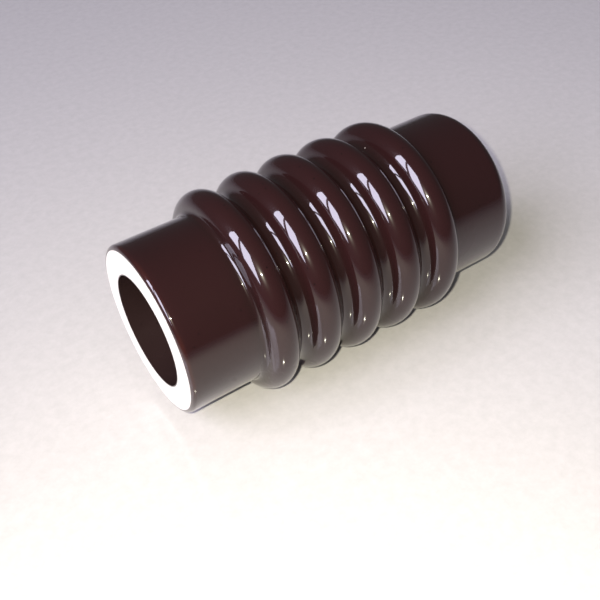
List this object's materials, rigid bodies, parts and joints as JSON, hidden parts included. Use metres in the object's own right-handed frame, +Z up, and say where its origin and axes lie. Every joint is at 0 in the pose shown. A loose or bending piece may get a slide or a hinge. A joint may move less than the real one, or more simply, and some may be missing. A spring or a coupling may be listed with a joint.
{
  "type": "porcelain insulator",
  "caption": "Hollow porcelain insulator sleeve with rounded ribs, plain necks, a ground unglazed end, a round glazed lip and a dark brown glaze inside and out.",
  "frame": {"origin": "middle of the footprint, on the surface that the rib crests rest on", "axes": "+X along the sleeve's axis from the ground end to the round-lipped end, +Z up"},
  "size_m": [0.1336, 0.0728, 0.0728],
  "materials": {
    "porcelain": "matt ground",
    "outer_glaze": "mirror gloss",
    "bore_glaze": "gloss"
  },
  "bodies": {
    "root": {"porcelain_body": "porcelain", "outer_glaze": "outer_glaze", "bore_glaze": "bore_glaze"}
  },
  "joints": []
}
